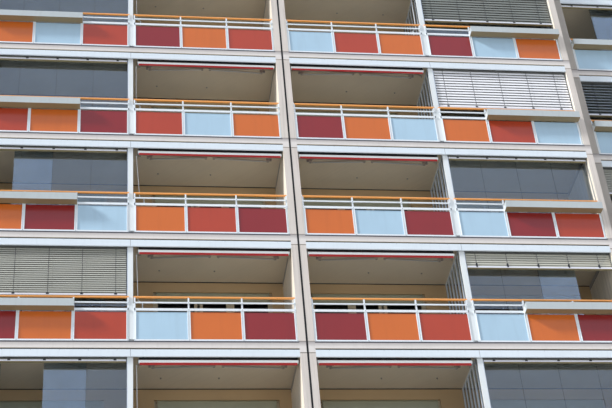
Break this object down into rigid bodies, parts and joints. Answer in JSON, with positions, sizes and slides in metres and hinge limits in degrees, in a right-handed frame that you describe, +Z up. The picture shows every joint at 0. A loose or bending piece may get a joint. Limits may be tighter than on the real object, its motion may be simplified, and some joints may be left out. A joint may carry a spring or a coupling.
{
  "type": "apartment block",
  "caption": "Tall block of flats in precast concrete panels, with rows of open and glazed loggias, coloured parapet panels, awnings, blinds and planter troughs.",
  "frame": {"origin": "on the ground, at the middle of the block's width and of its depth", "axes": "+Z up, the loggia front looks towards -Y, +X to the right seen from the front"},
  "size_m": [29.66, 15.31, 34.24],
  "materials": {
    "foundation": "cast concrete",
    "plinth": "cast concrete",
    "precast_wall": "painted precast concrete",
    "precast_slab": "painted precast concrete",
    "rendered_wall": "render",
    "facade_panel": "exposed aggregate panel",
    "window_glass": "double glazing",
    "loggia_glass": "clear toughened glass",
    "band_sheet": "coated sheet",
    "white_paint": "gloss paint",
    "handrail_paint": "gloss paint",
    "panel_orange": "coated panel",
    "panel_red": "coated panel",
    "panel_burgundy": "coated panel",
    "panel_blue": "coated panel",
    "planter_sheet": "coated sheet",
    "aluminium_track": "anodised",
    "blind_slat": "coated aluminium",
    "awning_cloth": "woven acrylic",
    "awning_metal": "powder coat",
    "zinc_sheet": "folded sheet",
    "roofing": "bitumen felt"
  },
  "bodies": {
    "root": {"raft": "foundation", "plinth_walls": "plinth", "cross_walls": "precast_wall", "gable_walls": "precast_wall", "floor_slabs": "precast_slab", "loggia_slabs": "precast_slab", "loggia_rear_walls": "rendered_wall", "loggia_windows": "window_glass", "rear_wall_panels": "facade_panel", "rear_windows": "window_glass", "stair_windows": "window_glass", "edge_bands": "band_sheet", "mid_posts": "white_paint", "partition_frames": "white_paint", "partition_glass": "loggia_glass", "railing_posts": "white_paint", "railing_rails": "white_paint", "post_strips": "band_sheet", "handrails": "handrail_paint", "panels_orange": "panel_orange", "panels_red": "panel_red", "panels_burgundy": "panel_burgundy", "panels_blue": "panel_blue", "planter_boxes": "planter_sheet", "glazing_tracks": "aluminium_track", "glazing_panes": "loggia_glass", "blind_heads": "band_sheet", "blind_slats": "blind_slat", "awning_bars": "white_paint", "awning_cloths": "awning_cloth", "awning_brackets": "awning_metal", "awning_tubes": "awning_metal", "awning_arms": "awning_metal", "awning_cranks": "awning_metal", "roof_parapets": "facade_panel", "parapet_caps": "zinc_sheet", "lift_housings": "facade_panel", "lift_housing_roofs": "roofing", "entrance_doors": "aluminium_track", "entrance_canopies": "precast_slab", "entrance_steps": "plinth", "entrance_railings": "awning_metal"}
  },
  "joints": []
}
